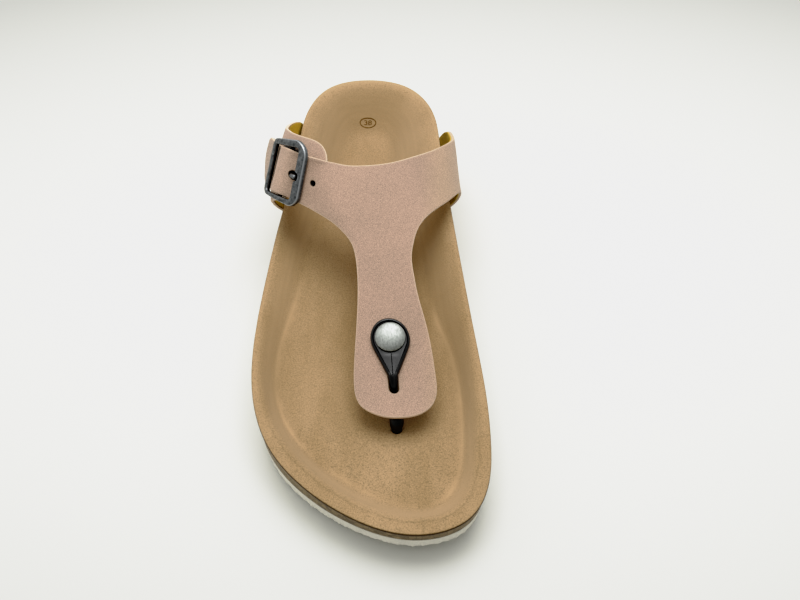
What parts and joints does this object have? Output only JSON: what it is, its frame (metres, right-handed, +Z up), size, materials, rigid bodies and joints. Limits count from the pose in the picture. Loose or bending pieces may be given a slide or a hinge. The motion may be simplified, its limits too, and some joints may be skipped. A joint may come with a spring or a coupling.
{
  "type": "toe post sandal",
  "caption": "Flat toe post sandal with a contoured cork footbed, foam outsole, T-shaped strap, side buckle and a riveted post between the toes.",
  "frame": {"origin": "on the floor under the middle of the bounding box", "axes": "+Z up, toe towards -Y, heel towards +Y, big-toe (medial) side towards +X"},
  "size_m": [0.101, 0.258, 0.0757],
  "materials": {
    "outsole_foam": "matte white foam",
    "cork": "sealed cork granules",
    "footbed_suede": "tan suede",
    "strap": "dusty pink nubuck",
    "buckle_metal": "aged dark plating",
    "post_plastic": "glossy black",
    "rivet_metal": "brushed silver"
  },
  "bodies": {
    "root": {"outsole": "outsole_foam", "footbed": "cork", "footbed_cover": "footbed_suede", "t_strap": "strap", "anchor_strap": "strap", "buckle_frame": "buckle_metal", "buckle_pin": "buckle_metal", "toe_post": "post_plastic", "rivet": "rivet_metal"}
  },
  "joints": []
}
